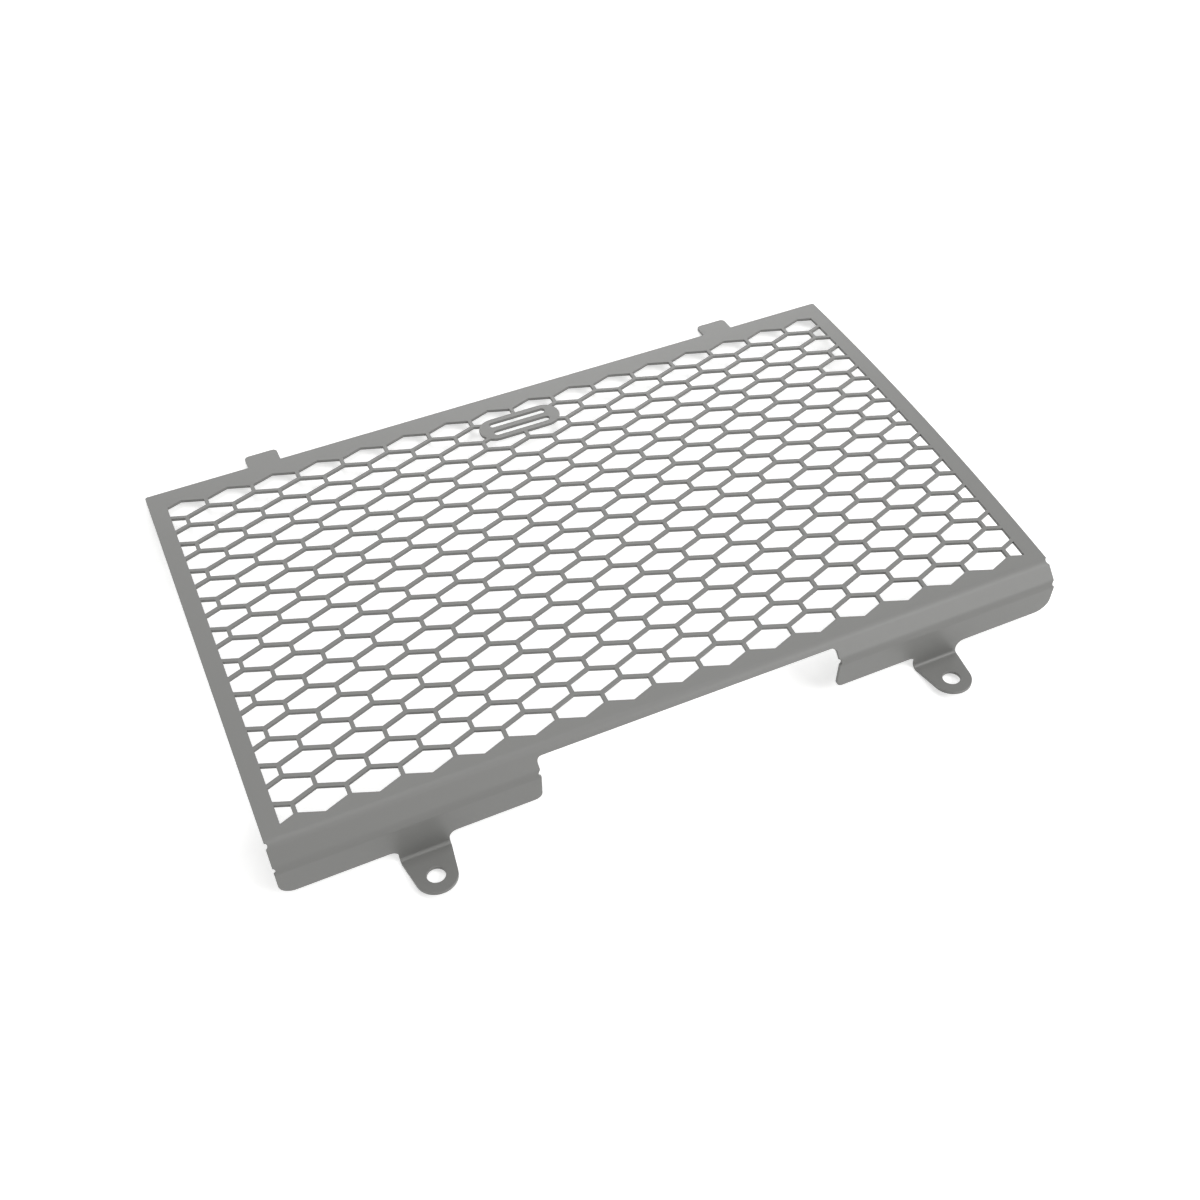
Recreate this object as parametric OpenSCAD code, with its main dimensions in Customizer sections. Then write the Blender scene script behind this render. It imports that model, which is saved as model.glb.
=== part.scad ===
// Radiator guard: one laser-cut sheet, crowned a little, folded twice along one long edge,
// with two ears bent outwards for its bolts and two locating tabs on the opposite edge.
//
// The sheet is one side profile, extruded across the width. Every edge and opening is then cut
// square to the sheet at its own place on the profile, as it would be in the flat blank.
// It lies as it comes to rest: on the tips of the tabs and on the bends of the ears.

/* [Sheet] */
// Thickness of the sheet
sheet_t = 1.2; // [0.8:0.1:2]
// Overall width of the guard
guard_w = 294.5; // [270:0.5:320]
// Radius of the slight outward crown of the panel
crown_r = 1240; // [800:10:4000]
// Radius of the two far corners of the panel
far_corner_r = 1; // [0.5:0.1:5]

/* [Hexagon field] */
// Number of rows of hexagons
rows = 20; // [14:1:22]
// Distance from one hexagon to the next along a row
cell_pitch = 18; // [14:0.5:22]
// Distance from one row to the next
row_step = 7.92; // [7:0.02:9]
// Length of the upright sides of a cell
cell_side = 4.6; // [3.6:0.1:5.6]
// Width of the web between two openings
web = 1.5; // [1:0.1:2.5]
// Plain border left and right of the field
side_border = 6.65; // [4:0.05:12]
// From the centre line of the first row to the far edge
far_margin = 12.6; // [8:0.1:20]
// From the centre line of the last row to the start of the fold
near_margin = 7.4; // [6:0.1:14]
// Narrowest opening that is still cut beside the border
least_opening = 1.2; // [1:0.1:3]

/* [Bare badge] */
// Width of the badge
badge_w = 34; // [28:1:48]
// Height of the badge, which has round ends
badge_h = 13; // [11:0.5:16]
// Rim of the badge around its two plain slots
badge_rim = 2.4; // [1.5:0.1:3]
// Row of hexagons that the badge is centred on
badge_row = 1; // [1:1:8]

/* [Locating tabs] */
// From the middle of the guard to the centre of a tab
tab_x = 100; // [60:1:125]
// Width of a tab
tab_w = 13; // [8:0.1:24]
// Length of a tab beyond the far edge
tab_l = 7.1; // [4:0.1:14]
// Radius of the outer corners of a tab
tab_r = 1.8; // [0.5:0.1:3.5]

/* [Fold and flanges] */
// Inside radius of both folds
fold_r = 3.8; // [2:0.1:7]
// Angle of the first fold
fold_1 = 41; // [30:0.5:50]
// Width of the flat strip between the folds
strip_w = 5.2; // [4:0.1:12]
// Angle of the second fold
fold_2 = 46.5; // [35:0.5:50]
// Flat height of the flanges below the second fold
flange_h = 11.4; // [9:0.1:25]
// Radius of the outer lower corners of the flanges
flange_outer_r = 5.5; // [2:0.1:8]
// Radius of the inner lower corners of the flanges
flange_inner_r = 2.7; // [1:0.1:6]
// Width of the gap between the two flanges
gap_w = 113.4; // [80:0.2:140]
// How far down the strip the gap starts
gap_start = 1.35; // [0.5:0.05:2]
// Radius of the corners at the top of the gap
gap_r = 1.8; // [0.5:0.1:2]

/* [Relief bites] */
// Radius of the bites at the ends of the folds
bite_r = 1.5; // [0.8:0.1:2.5]
// Depth of the bites into the sheet
bite_depth = 0.8; // [0.4:0.1:1.2]

/* [Ears] */
// From the middle of the guard to the centre line of an ear
ear_x = 99; // [78:1:122]
// Flat root of an ear, from the flange's lower edge to the bend
ear_root = 4; // [1:0.1:8]
// Radius of the fillets where the root meets the flange
ear_fillet_r = 3; // [0.5:0.1:4]
// Inside radius of the ear's bend
ear_bend_r = 1.2; // [0.8:0.1:4]
// Angle of the ear's bend, outwards
ear_bend = 97.5; // [85:0.5:100]
// From the end of the bend to the centre of the bolt hole
ear_reach = 9.6; // [6:0.1:20]
// Radius of the round end of an ear
ear_end_r = 7.3; // [6:0.1:10]
// Angle at which each side of an ear widens towards its bend
ear_taper = 8.5; // [4:0.5:14]
// Diameter of the bolt hole, clear of an M6 screw
ear_hole_d = 6.4; // [5:0.1:8.4]

/* [Hidden] */

// Fineness of arcs in the plan of the blank, of the crown and of a bend
ARC_FN = 48;
CROWN_FN = 1440;
BEND_STEPS = 8;
// How far a cutter runs past what it cuts
over = 1;

sheet_grey = [0.56, 0.56, 0.55];

field_w = guard_w - 2 * side_border;
field_l = (rows - 1) * row_step;
panel_l = near_margin + field_l + far_margin;

// A cell is a hexagon with two upright sides. Its slanted sides rise by the rest of the row step.
cell_rise = row_step - cell_side;
slant_l = norm([cell_pitch / 2, cell_rise]);
open_half_w = (cell_pitch - web) / 2;
open_tip = cell_side / 2 + cell_rise - web / 2 * slant_l / (cell_pitch / 2);
open_shoulder = open_tip - open_half_w * cell_rise / (cell_pitch / 2);

// The profile is drawn in Y and Z, from the end of the panel, where its outer face is level at
// the origin. Heading is the angle of the sheet below level as it runs towards -Y.
function ahead(h) = [-cos(h), -sin(h)];
function outward(h) = [-sin(h), cos(h)];
function arc(c, r, h0, h1) = [for (i = [0:BEND_STEPS]) c + r * outward(h0 + (h1 - h0) * i / BEND_STEPS)];

flange_heading = fold_1 + fold_2;
ear_heading = flange_heading - ear_bend;
fold_outer_r = fold_r + sheet_t;

fold_1_centre = -fold_outer_r * outward(0);
strip_start = fold_1_centre + fold_outer_r * outward(fold_1);
strip_end = strip_start + strip_w * ahead(fold_1);
fold_2_centre = strip_end - fold_outer_r * outward(fold_1);
flange_start = fold_2_centre + fold_outer_r * outward(flange_heading);
ear_bend_start = flange_start + (flange_h + ear_root) * ahead(flange_heading);
ear_bend_centre = ear_bend_start + ear_bend_r * outward(flange_heading);
ear_start = ear_bend_centre - ear_bend_r * outward(ear_heading);
ear_tip = ear_start + (ear_reach + ear_end_r) * ahead(ear_heading);
ear_trim = ear_tip + over * ahead(ear_heading);

outer_face = concat(
    [[0, 0]],
    arc(fold_1_centre, fold_outer_r, 0, fold_1),
    arc(fold_2_centre, fold_outer_r, fold_1, flange_heading),
    arc(ear_bend_centre, -ear_bend_r, flange_heading, ear_heading),
    [ear_trim]
);
inner_face = concat(
    [ear_trim - sheet_t * outward(ear_heading)],
    arc(ear_bend_centre, -ear_bend_r - sheet_t, ear_heading, flange_heading),
    arc(fold_2_centre, fold_r, flange_heading, fold_1),
    arc(fold_1_centre, fold_r, fold_1, 0),
    [[0, -sheet_t]]
);

// The panel's outer face is an arc about a centre straight below the origin.
function crown_angle(l) = l / crown_r * 180 / PI;
function crown_point(l, r = crown_r) = [r * sin(crown_angle(l)), r * cos(crown_angle(l)) - crown_r];

// At rest the lower edges of the tab tips and the undersides of the ear bends are level.
tab_tip = crown_point(panel_l + tab_l);
tab_foot = crown_point(panel_l + tab_l, crown_r - sheet_t);
ear_foot_r = ear_bend_r + sheet_t;
foot_span = tab_foot - ear_bend_centre;
rest_turn = -asin(ear_foot_r / norm(foot_span)) - atan2(foot_span[1], foot_span[0]);
function turned(p) = [
    p[0] * cos(rest_turn) - p[1] * sin(rest_turn),
    p[0] * sin(rest_turn) + p[1] * cos(rest_turn)
];
ear_tip_foot = ear_tip - sheet_t * outward(ear_heading);
rest_y = (turned(tab_tip)[0] + turned(ear_tip_foot)[0]) / 2;
rest_z = turned(tab_foot)[1];

// Half the width of an ear, the same from its root to the end of its bend
ear_half_w = ear_end_r / cos(ear_taper) + ear_reach * tan(ear_taper);

badge_slot_h = (badge_h - 3 * badge_rim) / 2;
badge_slot_w = badge_w - badge_h + badge_slot_h;

// Places its children on the outer face at a point of the profile: +Z out of the sheet, and +Y
// up the sheet towards the far edge.
module on_sheet(point, heading) {
    translate([0, point[0], point[1]]) rotate([heading, 0, 0]) children();
}

// The same on the panel, at a distance from the start of the fold.
module on_panel(l) {
    translate([0, 0, -crown_r]) rotate([-crown_angle(l), 0, 0]) translate([0, 0, crown_r]) children();
}

// A plan shape as a cutter, from below the sheet to above it.
module cutter(below = sheet_t + over, above = over) {
    translate([0, 0, -below]) linear_extrude(below + above) children();
}

module both_sides() {
    children();
    mirror([1, 0, 0]) children();
}

// What is cut off a square corner at the origin to round it. The sheet lies at -X and +Y.
module corner_offcut(r) {
    translate([-r, r]) difference() {
        translate([0, -r - over]) square([r + over, r + over]);
        circle(r, $fn = ARC_FN);
    }
}

module profile() {
    // The panel, a ring segment that ends level at the origin
    far_angle = crown_angle(panel_l + tab_l + over);
    reach = crown_r / cos(far_angle) + over;
    intersection() {
        translate([0, -crown_r]) difference() {
            circle(crown_r, $fn = CROWN_FN);
            circle(crown_r - sheet_t, $fn = CROWN_FN);
        }
        translate([0, -crown_r]) polygon([[0, 0], [reach * sin(far_angle), reach * cos(far_angle)], [0, reach]]);
    }
    // The folds, the flange and the ear
    polygon(concat(outer_face, inner_face));
}

module folded_blank() {
    rotate([90, 0, 90]) linear_extrude(guard_w, center = true) profile();
}

module hexagon_opening() {
    polygon([
        [0, open_tip], [-open_half_w, open_shoulder], [-open_half_w, -open_shoulder],
        [0, -open_tip], [open_half_w, -open_shoulder], [open_half_w, open_shoulder]
    ]);
}

// A bar with round ends, lying along X
module round_bar(w, h) {
    square([w - h, h], center = true);
    for (side = [-1, 1]) translate([side * (w - h) / 2, 0]) circle(h / 2, $fn = ARC_FN);
}

// One row of openings. Every second row is shifted by half a pitch. The straight borders and the
// badge cut into the openings that they meet.
module row_openings(row) {
    count = ceil(field_w / cell_pitch) + row % 2;
    farthest = field_w / 2 + open_half_w - least_opening;
    difference() {
        intersection() {
            for (i = [0:count - 1]) {
                x = (i - (count - 1) / 2) * cell_pitch;
                if (abs(x) < farthest) translate([x, 0]) hexagon_opening();
            }
            square([field_w, cell_pitch + row_step], center = true);
        }
        if (abs(row - badge_row) * row_step < badge_h / 2 + open_tip)
            translate([0, (row - badge_row) * row_step]) round_bar(badge_w, badge_h);
    }
}

module badge_slots() {
    for (side = [-1, 1]) translate([0, side * (badge_slot_h + badge_rim) / 2])
        round_bar(badge_slot_w, badge_slot_h);
}

// The far edge between and beside the tabs, and the rounded corners
module far_edge_offcut() {
    difference() {
        translate([-guard_w / 2 - over, 0]) square([guard_w + 2 * over, tab_l + 3 * over]);
        both_sides() translate([tab_x - tab_w / 2, -over]) difference() {
            square([tab_w, tab_l + over]);
            translate([tab_w, tab_l + over]) rotate(90) corner_offcut(tab_r);
            translate([0, tab_l + over]) rotate(180) corner_offcut(tab_r);
        }
    }
    both_sides() translate([guard_w / 2, 0]) rotate(90) corner_offcut(far_corner_r);
}

// The gap between the flanges, in the plane of the strip
module gap_offcut(depth) {
    difference() {
        translate([-gap_w / 2, -depth]) square([gap_w, depth - gap_start]);
        both_sides() translate([gap_w / 2, -gap_start]) rotate(90) corner_offcut(gap_r);
    }
}

// The root of an ear, from inside the flange to below the bend, with its fillets
module ear_root_plan() {
    depth = ear_root + ear_foot_r + 3 * over;
    translate([-ear_half_w, over - flange_h - depth]) square([2 * ear_half_w, depth]);
    fillet_x = ear_half_w + ear_fillet_r;
    difference() {
        translate([-fillet_x, -flange_h - ear_fillet_r]) square([2 * fillet_x, ear_fillet_r + over]);
        both_sides() translate([fillet_x, -flange_h - ear_fillet_r]) circle(ear_fillet_r, $fn = ARC_FN);
    }
}

// Below the flanges' lower edge only the two ear roots stay.
module lower_edge_offcut() {
    depth = ear_root + ear_foot_r + 2 * over;
    difference() {
        translate([-guard_w / 2 - over, -flange_h - depth]) square([guard_w + 2 * over, depth]);
        both_sides() translate([ear_x, 0]) ear_root_plan();
    }
    both_sides() {
        translate([guard_w / 2, -flange_h]) corner_offcut(flange_outer_r);
        translate([gap_w / 2, -flange_h]) rotate(-90) corner_offcut(flange_inner_r);
    }
}

module ear_plan() {
    side = [cos(ear_taper), sin(ear_taper)] * ear_end_r;
    translate([0, -ear_reach]) circle(ear_end_r, $fn = ARC_FN);
    polygon([
        [-side[0], -ear_reach - side[1]], [side[0], -ear_reach - side[1]],
        [ear_half_w, 0], [ear_half_w, over], [-ear_half_w, over], [-ear_half_w, 0]
    ]);
}

// Beyond the ends of their bends only the two ears stay.
module ear_offcut() {
    depth = ear_reach + ear_end_r + 2 * over;
    difference() {
        translate([-guard_w / 2 - over, -depth]) square([guard_w + 2 * over, depth]);
        both_sides() translate([ear_x, 0]) ear_plan();
    }
}

module fold_bites(point, heading, x) {
    on_sheet(point, heading) both_sides() translate([x, 0, -sheet_t - over])
        cylinder(r = bite_r, h = sheet_t + 2 * over, $fn = ARC_FN);
}

module guard_sheet() {
    bite_out = bite_r - bite_depth;
    fold_1_middle = fold_1_centre + fold_outer_r * outward(fold_1 / 2);
    fold_2_middle = fold_2_centre + fold_outer_r * outward(fold_1 + fold_2 / 2);
    color(sheet_grey) translate([0, -rest_y, -rest_z]) rotate([rest_turn, 0, 0]) difference() {
        folded_blank();
        for (row = [0:rows - 1]) on_panel(near_margin + field_l - row * row_step)
            cutter() row_openings(row);
        on_panel(near_margin + field_l - badge_row * row_step) cutter() badge_slots();
        on_panel(panel_l) cutter() far_edge_offcut();
        on_sheet(strip_start, fold_1) cutter(below = flange_h + fold_outer_r + 2 * over)
            gap_offcut(strip_w + flange_h + fold_outer_r);
        on_sheet(flange_start, flange_heading) cutter(above = ear_reach + ear_end_r + ear_foot_r)
            lower_edge_offcut();
        on_sheet(ear_start, ear_heading) cutter(above = ear_bend_r) ear_offcut();
        on_sheet(ear_start, ear_heading) both_sides() translate([ear_x, -ear_reach, -sheet_t - over])
            cylinder(d = ear_hole_d, h = sheet_t + 2 * over, $fn = ARC_FN);
        fold_bites(fold_1_middle, fold_1 / 2, guard_w / 2 + bite_out);
        fold_bites(fold_2_middle, fold_1 + fold_2 / 2, guard_w / 2 + bite_out);
        fold_bites(fold_2_middle, fold_1 + fold_2 / 2, gap_w / 2 - bite_out);
    }
}

guard_sheet();
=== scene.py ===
"""Radiator guard: a folded sheet with a field of hexagon openings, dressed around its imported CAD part."""

import bpy
import numpy as np
from bpy.props import FloatProperty, FloatVectorProperty, IntProperty, PointerProperty
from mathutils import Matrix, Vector
from mathutils.geometry import delaunay_2d_cdt


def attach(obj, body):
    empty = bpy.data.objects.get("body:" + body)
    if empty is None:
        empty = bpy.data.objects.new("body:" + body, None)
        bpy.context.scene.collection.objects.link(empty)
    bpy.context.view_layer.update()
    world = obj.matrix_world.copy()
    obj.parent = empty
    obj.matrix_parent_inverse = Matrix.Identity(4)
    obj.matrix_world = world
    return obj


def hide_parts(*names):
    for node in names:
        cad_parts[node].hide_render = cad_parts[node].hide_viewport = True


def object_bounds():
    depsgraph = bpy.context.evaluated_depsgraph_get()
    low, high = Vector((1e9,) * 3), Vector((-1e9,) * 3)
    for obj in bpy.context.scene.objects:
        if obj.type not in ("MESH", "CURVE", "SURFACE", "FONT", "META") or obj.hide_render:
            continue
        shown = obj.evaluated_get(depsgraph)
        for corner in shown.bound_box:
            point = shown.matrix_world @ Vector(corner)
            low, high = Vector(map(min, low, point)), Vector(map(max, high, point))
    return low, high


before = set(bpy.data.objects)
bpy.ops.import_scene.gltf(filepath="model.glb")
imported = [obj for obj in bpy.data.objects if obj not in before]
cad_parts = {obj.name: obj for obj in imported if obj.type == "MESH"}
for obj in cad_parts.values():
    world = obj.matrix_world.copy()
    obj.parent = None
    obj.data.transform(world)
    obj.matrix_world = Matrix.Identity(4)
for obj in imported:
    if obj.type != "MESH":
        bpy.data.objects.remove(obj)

bl_info = {
    "name": "Radiator guard",
    "version": (1, 0, 0),
    "blender": (4, 5, 0),
    "location": "3D View > Sidebar > Guard",
    "description": "Builds a folded and perforated radiator guard and the stage around it",
    "category": "Object",
}

CAD_LOW, CAD_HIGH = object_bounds()
MM = 0.001

# Steps in a fold, in an ear's bend and around a bolt hole
FOLD_STEPS = 12
EAR_BEND_STEPS = 20
HOLE_STEPS = 48
# The triangulation joins points nearer than this, in millimetres, and leaves out slivers below this area, in
# square metres.
JOIN = 1e-4
SLIVER = 1e-14
# Walls that meet within twice this angle are shaded as one curve, and a sharper corner stays sharp.
SMOOTH_TURN = np.radians(17)
# A border point moves inwards by at most this many times the rim, however sharp its corner is.
LONGEST_MITRE = 2.0

# The photograph's view, fitted to places all over the sheet: the camera's place and nearest visible
# distance in metres, its turn about X, Y and Z in degrees, and its lens and sensor in millimetres.
CAMERA_PLACE = (-0.149535, -0.291334, 0.441651)
CAMERA_NEAREST = 0.01
CAMERA_TURN = (35.33495, -2.53886, -24.08128)
CAMERA_LENS = 43.454
CAMERA_SENSOR = 36.0


# Settings

def millimetres(name, text, value):
    """A length that a user can set, given in millimetres and kept in metres."""
    return FloatProperty(name=name, description=text, default=value * MM, min=0.0, precision=5,
                         unit="LENGTH", subtype="DISTANCE")


def degrees(name, text, value):
    """An angle that a user can set, given in degrees."""
    return FloatProperty(name=name, description=text, default=float(np.radians(value)), unit="ROTATION",
                         subtype="ANGLE")


def watts(name, text, value):
    """A lamp's power that a user can set."""
    return FloatProperty(name=name, description=text, default=value, min=0.0, unit="POWER")


def share(name, text, value):
    """A plain number from 0 to 1 that a user can set."""
    return FloatProperty(name=name, description=text, default=value, min=0.0, max=1.0)


def srgb(code):
    """Linear colour of an sRGB hex code: each part over 255, then the sRGB curve undone."""
    parts = np.array([int(code[i:i + 2], 16) for i in (1, 3, 5)]) / 255
    linear = np.where(parts <= 0.04045, parts / 12.92, ((parts + 0.055) / 1.055) ** 2.4)
    return (*linear.tolist(), 1.0)


def colour(name, text, code):
    """A colour that a user can set, given as an sRGB hex code."""
    return FloatVectorProperty(name=name, description=text, default=srgb(code), size=4, min=0.0, max=1.0,
                               subtype="COLOR")


class GuardSheetSizes(bpy.types.PropertyGroup):
    width: millimetres("Width", "Overall width of the guard", (CAD_HIGH.x - CAD_LOW.x) / MM)
    thickness: millimetres("Thickness", "Thickness of the sheet", 1.2)
    crown: millimetres("Crown radius", "Radius of the slight crown of the panel", 1240.0)
    rim: millimetres("Edge radius", "Radius that the coat gives every cut edge", 0.1)
    corner: millimetres("Far corners", "Radius of the two far corners", 1.0)
    tab_x: millimetres("Tab place", "From the middle to the centre of a tab", 100.0)
    tab_w: millimetres("Tab width", "Width of a tab", 13.0)
    tab_l: millimetres("Tab length", "Length of a tab beyond the far edge", 7.1)
    tab_r: millimetres("Tab corners", "Radius of a tab's corners", 1.8)


class HexagonFieldSizes(bpy.types.PropertyGroup):
    rows: IntProperty(name="Rows", description="Rows of hexagons", default=20, min=2)
    pitch: millimetres("Pitch", "From one hexagon to the next along a row", 18.0)
    step: millimetres("Row step", "From one row to the next", 7.92)
    side: millimetres("Cell side", "Length of a cell's upright sides", 4.6)
    web: millimetres("Web", "Width of the web between two openings", 1.5)
    border: millimetres("Side border", "Plain border left and right of the field", 6.65)
    far: millimetres("Far margin", "From the first row's centre line to the far edge", 12.6)
    near: millimetres("Near margin", "From the last row's centre line to the first fold", 7.4)
    least: millimetres("Least opening", "Narrowest opening cut beside the border", 1.2)
    badge_row: IntProperty(name="Badge row", description="Row that the bare badge is centred on", default=1)
    badge_w: millimetres("Badge width", "Width of the bare badge", 34.0)
    badge_h: millimetres("Badge height", "Height of the bare badge", 13.0)
    badge_rim: millimetres("Badge rim", "Rim of the badge around its two slots", 2.4)


class FoldSizes(bpy.types.PropertyGroup):
    radius: millimetres("Fold radius", "Inside radius of both folds", 3.8)
    first: degrees("First fold", "Angle of the first fold", 41.0)
    strip: millimetres("Strip", "Width of the flat strip between the folds", 5.2)
    second: degrees("Second fold", "Angle of the second fold", 46.5)
    flange: millimetres("Flange", "Flat height of the flanges", 11.4)
    outer_r: millimetres("Outer corners", "Radius of the flanges' outer lower corners", 5.5)
    inner_r: millimetres("Inner corners", "Radius of the flanges' inner lower corners", 2.7)
    gap: millimetres("Gap", "Width of the gap between the flanges", 113.4)
    gap_start: millimetres("Gap start", "How far down the strip the gap starts", 1.35)
    gap_r: millimetres("Gap corners", "Radius of the corners at the top of the gap", 1.8)
    bite_r: millimetres("Bite radius", "Radius of the relief bites at the folds' ends", 1.5)
    bite: millimetres("Bite depth", "Depth of the relief bites", 0.8)


class EarSizes(bpy.types.PropertyGroup):
    x: millimetres("Ear place", "From the middle to the centre line of an ear", 99.0)
    root: millimetres("Root", "Flat root of an ear below the flange", 4.0)
    fillet: millimetres("Fillets", "Radius where the root meets the flange", 3.0)
    bend_r: millimetres("Bend radius", "Inside radius of the ear's bend", 1.2)
    bend: degrees("Bend", "Angle of the ear's bend", 97.5)
    reach: millimetres("Reach", "From the end of the bend to the bolt hole", 9.6)
    end_r: millimetres("End radius", "Radius of the ear's round end", 7.3)
    taper: degrees("Taper", "Angle of each side of the ear", 8.5)
    hole: millimetres("Bolt hole", "Diameter of the bolt hole", 6.4)


class CoatLook(bpy.types.PropertyGroup):
    grey: colour("Coat", "Colour of the powder coat", "#898987")
    roughness: share("Roughness", "Roughness of the coat", 0.45)
    rough_drift: share("Roughness drift", "How far the roughness strays either way", 0.04)
    peel: millimetres("Orange peel", "Width of one ripple of the coat", 1.4)
    peel_depth: millimetres("Peel depth", "Depth of the ripple", 0.02)
    peel_share: share("Peel strength", "Share of the ripple that shows", 0.25)
    drift: millimetres("Tone drift", "Width of one drift in tone", 60.0)
    drift_share: share("Drift strength", "How far the tone strays either way", 0.03)


class StageLook(bpy.types.PropertyGroup):
    floor: colour("Floor", "Colour of the floor", "#f4f4f3")
    half: millimetres("Half floor", "From the middle of the floor to its edge", 3000.0)
    lift: share("Floor lift", "White that the floor adds for the camera, near the guard", 0.58)
    far_lift: share("Far lift", "White that the floor adds for the camera, far away", 0.82)
    near: millimetres("Near", "From the middle to where the lift starts to grow", 500.0)
    away: millimetres("Away", "From the middle to where the lift is the far lift", 1500.0)
    sky: share("Room light", "Strength of the even light of the room", 0.24)
    box: millimetres("Soft box", "Width of each lamp's square soft box", 1000.0)
    front: watts("Front lamp", "Power of the main lamp, in front at the right", 17.0)
    top: watts("Top lamp", "Power of the lamp overhead", 9.5)
    back: watts("Back lamp", "Power of the low lamp behind", 5.8)
    corner: watts("Corner lamp", "Power of the low lamp behind at the right", 5.2)


SETTINGS = {
    "guard_sheet_sizes": GuardSheetSizes,
    "guard_field_sizes": HexagonFieldSizes,
    "guard_fold_sizes": FoldSizes,
    "guard_ear_sizes": EarSizes,
    "guard_coat_look": CoatLook,
    "guard_stage_look": StageLook,
}


# The flat blank

def arc(centre, radius, start, end, steps=10):
    """Points on a circle: the centre plus the radius times the cosine and sine of evenly spaced angles."""
    a = np.radians(np.linspace(start, end, steps + 1))
    return np.asarray(centre) + radius * np.stack([np.cos(a), np.sin(a)], 1)


def round_bar(width, height, centre, steps=12):
    """A bar with round ends: a half circle at each end of a straight middle."""
    x, r = (width - height) / 2, height / 2
    return np.concatenate([arc((x, 0), r, -90, 90, steps), arc((-x, 0), r, 90, 270, steps)]) + centre


def in_round_bar(points, width, height, centre):
    """True within half the height of the bar's middle line."""
    d = points - centre
    d[:, 0] -= np.clip(d[:, 0], -(width - height) / 2, (width - height) / 2)
    return np.hypot(d[:, 0], d[:, 1]) < height / 2


def in_polygon(points, ring):
    """True where a ray to the right crosses the ring an odd number of times."""
    (x, y), a, b = points.T[:, :, None], ring, np.roll(ring, -1, 0)
    spans = (a[:, 1] > y) != (b[:, 1] > y)
    rise = np.where(a[:, 1] == b[:, 1], 1.0, b[:, 1] - a[:, 1])
    crosses = a[:, 0] + (y - a[:, 1]) * (b[:, 0] - a[:, 0]) / rise
    return (spans & (x < crosses)).sum(1) % 2 == 1


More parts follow.
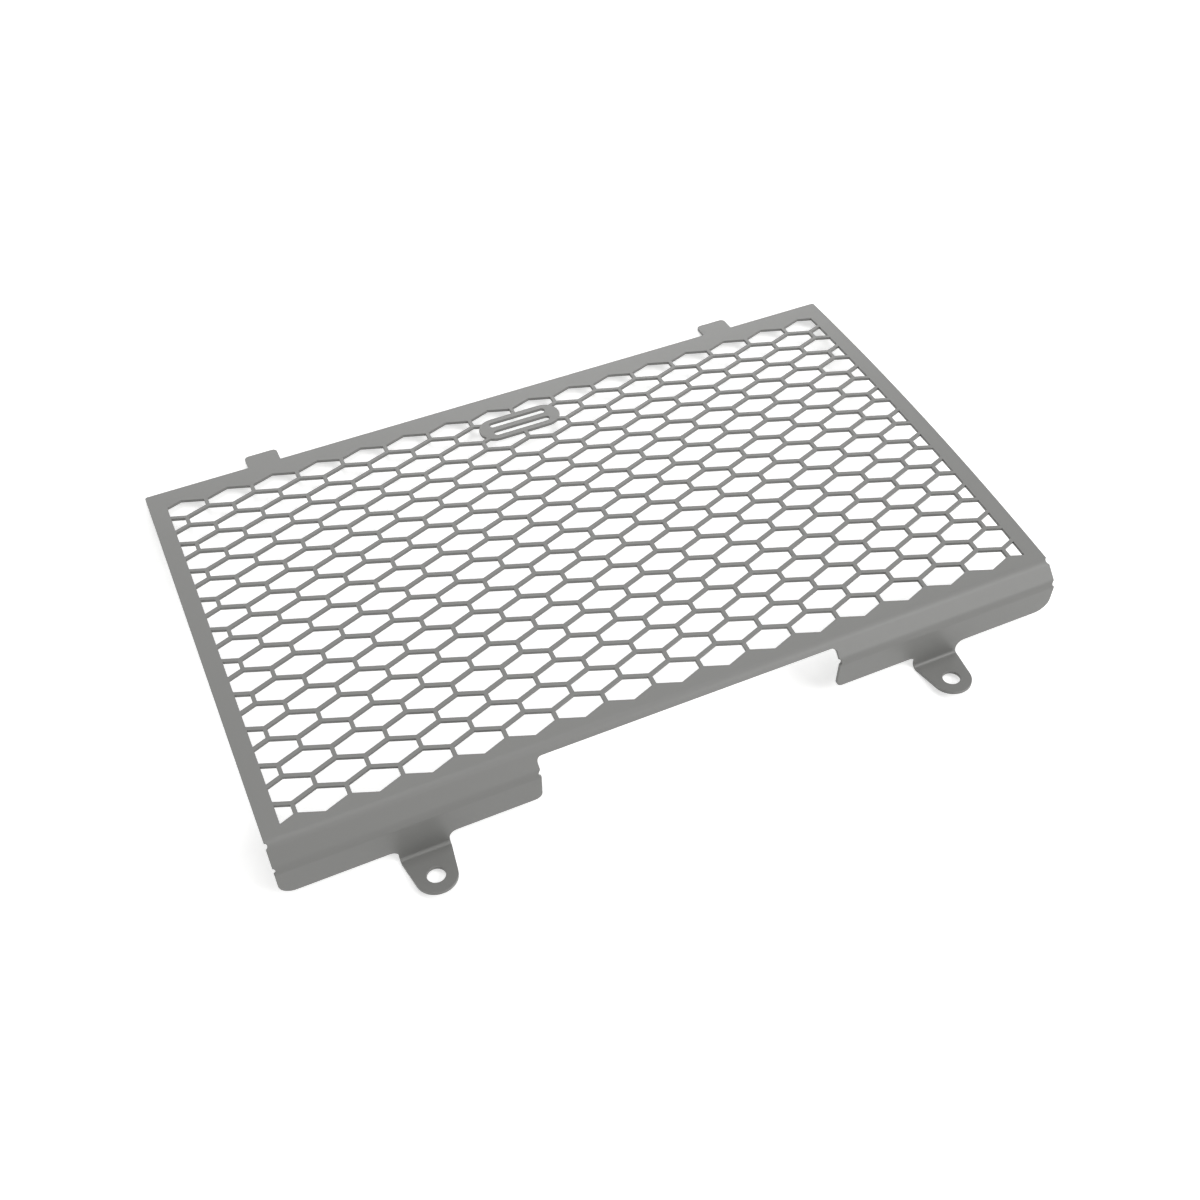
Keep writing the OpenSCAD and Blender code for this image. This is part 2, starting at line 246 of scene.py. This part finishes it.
class Blank:
    """The flat blank. X runs along the folds, and V up the outer face from the start of the first fold."""

    def __init__(self, sheet, field, folds, ear):
        self.sheet, self.field, self.folds, self.ear = sheet, field, folds, ear
        self.fold_r = folds.radius + sheet.thickness
        self.last_row = field.near
        self.far_edge = field.near + (field.rows - 1) * field.step + field.far
        self.fold_1 = self.fold_r * folds.first
        self.fold_2 = self.fold_1 + folds.strip
        self.flange_start = self.fold_2 + self.fold_r * folds.second
        self.flange_edge = self.flange_start + folds.flange
        self.ear_bend = self.flange_edge + ear.root
        self.ear_plate = self.ear_bend + ear.bend_r * ear.bend
        self.ear_half_w = ear.end_r / np.cos(ear.taper) + ear.reach * np.tan(ear.taper)
        self.field_half_w = sheet.width / 2 - field.border

    def outline(self):
        """The outer edge: its right half from the far edge to the gap, then its mirror image."""
        s, f, e = self.sheet, self.folds, self.ear
        w, top, low, gap = s.width / 2, self.far_edge, -self.flange_edge, f.gap / 2
        left, right, tip = s.tab_x - s.tab_w / 2, s.tab_x + s.tab_w / 2, top + s.tab_l
        bite_out = f.bite_r - f.bite
        bite_a = np.degrees(np.arccos(bite_out / f.bite_r))
        middle_1, middle_2 = -self.fold_1 / 2, -(self.fold_2 + self.flange_start) / 2
        plate, taper = -self.ear_plate, np.degrees(e.taper)
        half = [
            [(left, top)], arc((left + s.tab_r, tip - s.tab_r), s.tab_r, 180, 90),
            arc((right - s.tab_r, tip - s.tab_r), s.tab_r, 90, 0), [(right, top)],
            arc((w - s.corner, top - s.corner), s.corner, 90, 0),
            arc((w + bite_out, middle_1), f.bite_r, 180 - bite_a, 180 + bite_a),
            arc((w + bite_out, middle_2), f.bite_r, 180 - bite_a, 180 + bite_a),
            arc((w - f.outer_r, low + f.outer_r), f.outer_r, 0, -90, 14),
            arc((e.x + self.ear_half_w + e.fillet, low - e.fillet), e.fillet, 90, 180),
            [(e.x + self.ear_half_w, plate)],
            arc((e.x, plate - e.reach), e.end_r, -taper, taper - 180, 40),
            [(e.x - self.ear_half_w, plate)],
            arc((e.x - self.ear_half_w - e.fillet, low - e.fillet), e.fillet, 0, 90),
            arc((gap + f.inner_r, low + f.inner_r), f.inner_r, -90, -180),
            arc((gap - bite_out, middle_2), f.bite_r, -bite_a, bite_a),
            arc((gap - f.gap_r, -self.fold_1 - f.gap_start - f.gap_r), f.gap_r, 0, 90),
        ]
        half = np.concatenate([np.asarray(part, float) for part in half])
        return np.concatenate([half, half[::-1] * (-1, 1)])

    def cell_centres(self):
        """Centres of the hexagons, with every second row half a pitch along, and half an opening's width."""
        f = self.field
        row = np.arange(f.rows)
        most = int(np.ceil(self.field_half_w / f.pitch)) + 1
        column = np.arange(-most, most)
        shift = np.where(row % 2 == 0, 0.5, 0.0)
        x = (column[None, :] + shift[:, None]) * f.pitch
        v = np.broadcast_to((self.last_row + (f.rows - 1 - row) * f.step)[:, None], x.shape)
        half_w = (f.pitch - f.web) / 2
        keep = np.abs(x) < self.field_half_w + half_w - f.least
        return np.stack([x[keep], v[keep]], 1), half_w

    def opening_height(self, dx):
        """Half an opening's height at a distance from its centre: the tip less the slanted side's fall."""
        f = self.field
        slope = (f.step - f.side) / (f.pitch / 2)
        tip = f.side / 2 + (f.step - f.side) - f.web / 2 * np.hypot(1, slope)
        return tip - np.abs(dx) * slope

    def cells(self):
        """The openings as six-sided rings, clipped by the straight sides of the field."""
        centres, half_w = self.cell_centres()
        x, v = centres[:, :1], centres[:, 1:]
        limit = self.field_half_w
        xs = np.clip(np.concatenate([x - half_w, x, x + half_w], 1), -limit, limit)
        h = self.opening_height(xs - x)
        upper, lower = np.stack([xs, v + h], 2), np.stack([xs, v - h], 2)
        return np.concatenate([upper, lower[:, ::-1]], 1)

    def badge(self):
        """Width, height and centre of the bare badge, and of its two slots."""
        f = self.field
        centre = np.array([0, self.last_row + (f.rows - 1 - f.badge_row) * f.step])
        slot_h = (f.badge_h - 3 * f.badge_rim) / 2
        slot_w = f.badge_w - f.badge_h + slot_h
        rise = np.array([0, (slot_h + f.badge_rim) / 2])
        return (f.badge_w, f.badge_h, centre), [(slot_w, slot_h, centre + k * rise) for k in (-1, 1)]

    def bolt_holes(self):
        """Centres of the two bolt holes."""
        return [np.array([side * self.ear.x, -self.ear_plate - self.ear.reach]) for side in (-1, 1)]

    def rings(self):
        """Every closed line of the blank."""
        badge, slots = self.badge()
        bores = [arc(c, self.ear.hole / 2, 0, 360, HOLE_STEPS)[:-1] for c in self.bolt_holes()]
        return [self.outline(), *self.cells(), *(round_bar(*bar) for bar in (badge, *slots)), *bores]

    def is_solid(self, points):
        """True in the outline, but not in an opening outside the badge, nor in a slot or a bolt hole."""
        centres, half_w = self.cell_centres()
        dx, dv = np.moveaxis(points[:, None, :] - centres[None], -1, 0)
        opening = ((np.abs(dx) < half_w) & (np.abs(dv) < self.opening_height(dx))).any(1)
        opening &= np.abs(points[:, 0]) < self.field_half_w
        badge, slots = self.badge()
        opening &= ~in_round_bar(points, *badge)
        for bar in slots:
            opening |= in_round_bar(points, *bar)
        for centre in self.bolt_holes():
            opening |= np.hypot(*(points - centre).T) < self.ear.hole / 2
        return in_polygon(points, self.outline()) & ~opening

    def bend_lines(self):
        """Heights of the lines that let the flat triangles follow the bends and the crown."""
        f = self.field
        panel = self.last_row + np.arange(f.rows) * f.step
        bends = [
            -np.linspace(0, self.fold_1, FOLD_STEPS + 1),
            -np.linspace(self.fold_2, self.flange_start, FOLD_STEPS + 1),
            -np.linspace(self.ear_bend, self.ear_plate, EAR_BEND_STEPS + 1),
        ]
        return np.concatenate([panel, *bends])

    def triangles(self):
        """The blank's points and triangles: a triangulation that keeps all rings and bend lines, less the
        openings."""
        rings = self.rings()
        size = [len(r) for r in rings]
        first = np.cumsum([0, *size[:-1]])
        edges = [np.stack([a + np.arange(n), a + (np.arange(n) + 1) % n], 1) for a, n in zip(first, size)]
        lines = self.bend_lines()
        ends = np.stack([np.tile([-self.sheet.width, self.sheet.width], len(lines)), np.repeat(lines, 2)], 1)
        edges.append(sum(size) + np.arange(len(ends)).reshape(-1, 2))
        points = np.concatenate([*rings, ends]) / MM
        found, _, faces, *_ = delaunay_2d_cdt(
            [Vector(p) for p in points.tolist()], np.concatenate(edges).tolist(), [], 0, JOIN)
        points, faces = np.array([tuple(p) for p in found]) * MM, np.array(faces)
        a, b, c = (points[faces[:, k]] for k in range(3))
        area = np.cross(b - a, c - a)
        faces[area < 0] = faces[area < 0][:, ::-1]
        faces = faces[self.is_solid((a + b + c) / 3) & (np.abs(area) > SLIVER)]
        used, faces = np.unique(faces, return_inverse=True)
        return points[used], faces.reshape(-1, 3)


# The folded sheet

class Fold:
    """Bends the flat blank into its place in the row frame."""

    def __init__(self, blank):
        s, f, e = blank.sheet, blank.folds, blank.ear
        self.stops = np.array([0, blank.fold_1, blank.fold_2, blank.flange_start, blank.ear_bend,
                               blank.ear_plate])
        self.bends = np.array([1 / s.crown, 1 / blank.fold_r, 0, 1 / blank.fold_r, 0, -1 / e.bend_r, 0])
        # Each stretch starts where the one before it ends. The panel and the first fold both start at stop 0.
        self.starts = np.zeros((len(self.bends), 3))
        for k in range(1, len(self.stops)):
            self.starts[k + 1] = self.along(self.stops[k], np.array(k))
        self.spin, self.shift = 0.0, np.zeros(2)
        self.rest(blank)

    def along(self, down, k):
        """Y, Z and heading at a distance down stretch k: the mean heading times the chord of an even bend."""
        start, bend = self.starts[k], self.bends[k]
        travel = down - np.concatenate([[0], self.stops])[k]
        middle = start[..., 2] + bend * travel / 2
        chord = travel * np.sinc(bend * travel / 2 / np.pi)
        return np.stack([start[..., 0] - chord * np.cos(middle), start[..., 1] - chord * np.sin(middle),
                         start[..., 2] + bend * travel], -1)

    def place(self, v, depth=0.0):
        """Y, Z and heading of points at height v of the blank and a depth below its outer face."""
        k = np.searchsorted(self.stops, -v, side="right")
        y, z, heading = np.moveaxis(self.along(-v, k), -1, 0)
        y, z = y + depth * np.sin(heading), z - depth * np.cos(heading)
        c, s = np.cos(self.spin), np.sin(self.spin)
        return y * c - z * s - self.shift[0], y * s + z * c - self.shift[1], heading + self.spin

    def rest(self, blank):
        """Turns and shifts the sheet so that it rests on its tab tips' lower edges and its ear bends'
        undersides: the line through the tip and the bend's centre, less the bend's own radius."""
        s, e = blank.sheet, blank.ear
        tip_v = blank.far_edge + s.tab_l
        tip = np.array(self.place(np.array(tip_v), s.thickness)[:2])
        bend = np.array(self.place(np.array(-blank.ear_bend), -e.bend_r)[:2])
        foot_r = e.bend_r + s.thickness
        span = tip - bend
        self.spin = -np.arcsin(foot_r / np.hypot(*span)) - np.arctan2(span[1], span[0])
        far, foot = self.place(np.array(tip_v))[0], self.place(np.array(tip_v), s.thickness)[1]
        ear = self.place(np.array(-blank.ear_plate - e.reach - e.end_r), s.thickness)[0]
        self.shift = np.array([(far + ear) / 2, foot])

    def points(self, flat, depth):
        """Row-frame points of flat points (X, V) at a depth."""
        y, z, _ = self.place(flat[:, 1], depth)
        return np.stack([flat[:, 0], y, z], 1)

    def directions(self, flat, across, out):
        """Row-frame directions at flat points: a part in the sheet's plane (X, V) and a part out of its face,
        both turned by the heading there."""
        _, _, heading = self.place(flat[:, 1])
        c, s = np.cos(heading), np.sin(heading)
        return np.stack([across[:, 0], across[:, 1] * c - out * s, across[:, 1] * s + out * c], 1)


def border_of(faces):
    """The directed edges that only one triangle has, with the sheet on their left."""
    edges = np.concatenate([faces[:, [0, 1]], faces[:, [1, 2]], faces[:, [2, 0]]])
    count = faces.max() + 1
    keys, back = edges[:, 0] * count + edges[:, 1], edges[:, 1] * count + edges[:, 0]
    return edges[~np.isin(keys, back)]


def rounded_sheet(blank, fold, steps=3):
    """The folded sheet as one closed skin. Its two faces are the blank's triangles at no depth and at the
    sheet's thickness. Between them, a quarter circle, a straight wall and a quarter circle are carried along
    every border. Returns points, faces and the normal of each corner of each face."""
    flat, faces = blank.triangles()
    edges = border_of(faces)
    a, b = flat[edges[:, 0]], flat[edges[:, 1]]
    run = (b - a) / np.hypot(*(b - a).T)[:, None]
    out = np.stack([run[:, 1], -run[:, 0]], 1)
    leaving, arriving = np.zeros_like(flat), np.zeros_like(flat)
    leaving[edges[:, 0]], arriving[edges[:, 1]] = out, out
    mean = leaving + arriving
    on_border = np.hypot(*mean.T) > 0
    mean[on_border] /= np.hypot(*mean[on_border].T)[:, None]
    half_turn = np.clip((mean * leaving).sum(1), 1 / LONGEST_MITRE, 1)
    offset = mean / half_turn[:, None]
    smooth = half_turn > np.cos(SMOOTH_TURN)

    rim, thickness = blank.sheet.rim, blank.sheet.thickness
    angle = np.linspace(0, np.pi / 2, steps + 1)
    inset = rim * (1 - np.sin(angle))
    depth = rim * (1 - np.cos(angle))
    inset = np.concatenate([inset, inset[::-1]])
    depth = np.concatenate([depth, thickness - depth[::-1]])
    lean = np.concatenate([angle, np.pi - angle[::-1]])
    last = len(lean) - 1

    # The first and the last layer hold all points of the faces, and the layers between only the border's.
    border_points = np.flatnonzero(on_border)
    spot = np.zeros(len(flat), int)
    spot[border_points] = np.arange(len(border_points))
    points, start = [], [0]
    for k in range(last + 1):
        layer = flat - offset * inset[k]
        layer = layer if k in (0, last) else layer[border_points]
        points.append(fold.points(layer, depth[k]))
        start.append(start[-1] + len(layer))

    def index(k, which):
        return start[k] + (which if k in (0, last) else spot[which])

    face_normals = fold.directions(flat, np.zeros_like(flat), np.ones(len(flat)))
    normals = [face_normals[faces].reshape(-1, 3)]
    shape = [faces]
    for k in range(last):
        quads = np.stack([index(k, edges[:, 0]), index(k + 1, edges[:, 0]), index(k + 1, edges[:, 1]),
                          index(k, edges[:, 1])], 1)
        corner = []
        for ends, level in ((0, k), (0, k + 1), (1, k + 1), (1, k)):
            which = edges[:, ends]
            wall = np.where(smooth[which][:, None], mean[which], out)
            corner.append(fold.directions(flat[which], wall * np.sin(lean[level]),
                                          np.full(len(which), np.cos(lean[level]))))
        normals.append(np.stack(corner, 1).reshape(-1, 3))
        shape.append(quads)
    under = faces[:, ::-1]
    normals.append(-face_normals[under].reshape(-1, 3))
    shape.append(start[last] + under)
    return np.concatenate(points), [f for part in shape for f in part.tolist()], np.concatenate(normals)


# Materials

def add(tree, kind, settings=None, links=None):
    """Adds a node, sets its inputs and properties by name, and links its inputs from other nodes' outputs."""
    node = tree.nodes.new(kind)
    for name, value in (settings or {}).items():
        if name in node.inputs:
            node.inputs[name].default_value = value
        else:
            setattr(node, name, value)
    for name, output in (links or {}).items():
        tree.links.new(output, node.inputs[name])
    return node


def new_material(name):
    """An empty node material and its tree."""
    material = bpy.data.materials.new(name)
    material.use_nodes = True
    material.node_tree.nodes.clear()
    return material, material.node_tree


def powder_coat(look):
    """Grey polyester powder coat on a laser-cut sheet, sprayed on and baked. It gives the eye a soft satin
    grey that hardly shines, with a faint ripple, a slight drift in tone, and edges as grey as the faces."""
    material, tree = new_material("satin_powder_coat")
    place = add(tree, "ShaderNodeTexCoord").outputs["Object"]
    # The tone drifts as the coat's thickness does.
    drift = add(tree, "ShaderNodeTexNoise", {"Scale": 1 / look.drift, "Detail": 2.0}, {"Vector": place})
    tone = add(tree, "ShaderNodeMix", {"data_type": "RGBA"}, {"Factor": drift.outputs["Fac"]})
    for socket, strength in ((tone.inputs[6], 1 - look.drift_share), (tone.inputs[7], 1 + look.drift_share)):
        socket.default_value = (*(min(1.0, c * strength) for c in look.grey[:3]), 1.0)
    # The ripple of a real coat is about 0.6 mm wide. It is drawn wider, so that it still shows at this size.
    peel = add(tree, "ShaderNodeTexNoise", {"Scale": 1 / look.peel, "Detail": 1.0}, {"Vector": place})
    ripple = add(tree, "ShaderNodeBump", {"Strength": look.peel_share, "Distance": look.peel_depth},
                 {"Height": peel.outputs["Fac"]})
    rough = add(tree, "ShaderNodeMapRange", {
        "To Min": look.roughness - look.rough_drift, "To Max": look.roughness + look.rough_drift},
        {"Value": peel.outputs["Fac"]})
    coat = add(tree, "ShaderNodeBsdfPrincipled", {"IOR": 1.5, "Metallic": 0.0}, {
        "Base Color": tone.outputs[2], "Roughness": rough.outputs["Result"],
        "Normal": ripple.outputs["Normal"]})
    add(tree, "ShaderNodeOutputMaterial", {}, {"Surface": coat.outputs["BSDF"]})
    return material


def is_seen(tree):
    """One for rays from the camera, a mirror or glass, and nothing for light on its way to a surface."""
    path = add(tree, "ShaderNodeLightPath")
    first = add(tree, "ShaderNodeMath", {"operation": "MAXIMUM"})
    tree.links.new(path.outputs["Is Camera Ray"], first.inputs[0])
    tree.links.new(path.outputs["Is Glossy Ray"], first.inputs[1])
    second = add(tree, "ShaderNodeMath", {"operation": "MAXIMUM"})
    tree.links.new(first.outputs[0], second.inputs[0])
    tree.links.new(path.outputs["Is Transmission Ray"], second.inputs[1])
    return second.outputs[0]


def floor_paint(look):
    """Matt white studio floor. It keeps the object's shadow, and is lifted to white where it is looked at.
    The lamps hardly reach its far end, so the lift grows there."""
    material, tree = new_material("matt_white_floor")
    paint = add(tree, "ShaderNodeBsdfDiffuse", {"Color": tuple(look.floor)})
    place = add(tree, "ShaderNodeTexCoord").outputs["Object"]
    away = add(tree, "ShaderNodeVectorMath", {"operation": "LENGTH"}, {"Vector": place})
    lift = add(tree, "ShaderNodeMapRange", {
        "From Min": look.near, "From Max": look.away, "To Min": look.lift, "To Max": look.far_lift},
        {"Value": away.outputs["Value"]})
    strength = add(tree, "ShaderNodeMath", {"operation": "MULTIPLY"})
    tree.links.new(is_seen(tree), strength.inputs[0])
    tree.links.new(lift.outputs["Result"], strength.inputs[1])
    glow = add(tree, "ShaderNodeEmission", {}, {"Strength": strength.outputs[0]})
    both = add(tree, "ShaderNodeAddShader")
    tree.links.new(paint.outputs[0], both.inputs[0])
    tree.links.new(glow.outputs[0], both.inputs[1])
    add(tree, "ShaderNodeOutputMaterial", {}, {"Surface": both.outputs[0]})
    return material


# Operators

def mesh_object(name, points, faces, material):
    """A mesh object at the origin, with smooth faces and one material."""
    mesh = bpy.data.meshes.new(name)
    mesh.from_pydata(points.tolist(), [], faces)
    mesh.polygons.foreach_set("use_smooth", np.ones(len(mesh.polygons), bool))
    mesh.materials.append(material)
    mesh.validate()
    mesh.update()
    made = bpy.data.objects.new(name, mesh)
    bpy.context.scene.collection.objects.link(made)
    return made


class GUARD_OT_sheet(bpy.types.Operator):
    """Builds the folded guard with its openings, tabs, flanges and ears in the CAD sheet's place"""
    bl_idname = "guard.sheet"
    bl_label = "Build guard sheet"

    def execute(self, context):
        scene = context.scene
        blank = Blank(scene.guard_sheet_sizes, scene.guard_field_sizes, scene.guard_fold_sizes,
                      scene.guard_ear_sizes)
        points, faces, normals = rounded_sheet(blank, Fold(blank))
        sheet = mesh_object("perforated_sheet", points, faces, powder_coat(scene.guard_coat_look))
        if len(sheet.data.loops) != len(normals):
            raise RuntimeError("the sheet has faces that fold onto themselves: check the sizes")
        sheet.data.normals_split_custom_set(normals.tolist())
        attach(sheet, "root")
        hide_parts("guard_sheet")
        return {"FINISHED"}


def lamp(name, power, width, place):
    """A square soft box that shines from its place, in metres, towards the guard."""
    light = bpy.data.lights.new(name, "AREA")
    light.energy, light.shape, light.size = power, "SQUARE", width
    made = bpy.data.objects.new(name, light)
    made.location = place
    made.rotation_euler = (-Vector(place)).to_track_quat("-Z", "Y").to_euler()
    bpy.context.scene.collection.objects.link(made)


class GUARD_OT_stage(bpy.types.Operator):
    """Lays the floor, hangs the lamps and sets up the photograph's view"""
    bl_idname = "guard.stage"
    bl_label = "Build stage"

    def execute(self, context):
        scene, look = context.scene, context.scene.guard_stage_look
        corners = look.half * np.array([[-1, -1, 0], [1, -1, 0], [1, 1, 0], [-1, 1, 0]])
        floor = mesh_object("studio_floor", corners, [[0, 1, 2, 3]], floor_paint(look))

        lamp("front_lamp", look.front, look.box, (1.0, -1.0, 1.4))
        lamp("top_lamp", look.top, look.box, (0.0, 0.2, 2.0))
        lamp("back_lamp", look.back, look.box, (0.3, 1.8, 0.45))
        lamp("corner_lamp", look.corner, look.box, (0.9, 1.6, 0.45))

        world = bpy.data.worlds.new("white_room")
        world.use_nodes = True
        tree = world.node_tree
        tree.nodes.clear()
        # White where it is looked at, and an even room light on the object
        light = add(tree, "ShaderNodeMath", {"operation": "MULTIPLY_ADD"})
        tree.links.new(is_seen(tree), light.inputs[0])
        light.inputs[1].default_value, light.inputs[2].default_value = 1.0 - look.sky, look.sky
        sky = add(tree, "ShaderNodeBackground", {"Color": (1.0, 1.0, 1.0, 1.0)},
                  {"Strength": light.outputs[0]})
        add(tree, "ShaderNodeOutputWorld", {}, {"Surface": sky.outputs[0]})
        scene.world = world

        camera = bpy.data.cameras.new("photo_view")
        camera.lens, camera.sensor_width, camera.clip_start = CAMERA_LENS, CAMERA_SENSOR, CAMERA_NEAREST
        view = bpy.data.objects.new("photo_view", camera)
        view.location = CAMERA_PLACE
        view.rotation_euler = np.radians(CAMERA_TURN).tolist()
        scene.collection.objects.link(view)
        scene.camera = view
        scene.view_settings.view_transform = "Standard"
        return {"FINISHED"}


class GUARD_PT_panel(bpy.types.Panel):
    """Lists the guard's pieces and their settings"""
    bl_idname = "GUARD_PT_panel"
    bl_label = "Radiator guard"
    bl_space_type = "VIEW_3D"
    bl_region_type = "UI"
    bl_category = "Guard"

    def draw(self, context):
        for operator in OPERATORS:
            self.layout.operator(operator.bl_idname)
        for name, group in SETTINGS.items():
            box = self.layout.box()
            for key in group.__annotations__:
                box.prop(getattr(context.scene, name), key)


OPERATORS = (GUARD_OT_sheet, GUARD_OT_stage)
CLASSES = (*SETTINGS.values(), *OPERATORS, GUARD_PT_panel)


def register():
    for each in CLASSES:
        bpy.utils.register_class(each)
    for name, group in SETTINGS.items():
        setattr(bpy.types.Scene, name, PointerProperty(type=group))


def unregister():
    for name in SETTINGS:
        delattr(bpy.types.Scene, name)
    for each in reversed(CLASSES):
        bpy.utils.unregister_class(each)


def main():
    register()
    bpy.ops.guard.sheet()
    bpy.ops.guard.stage()


if __name__ == "__main__":
    main()
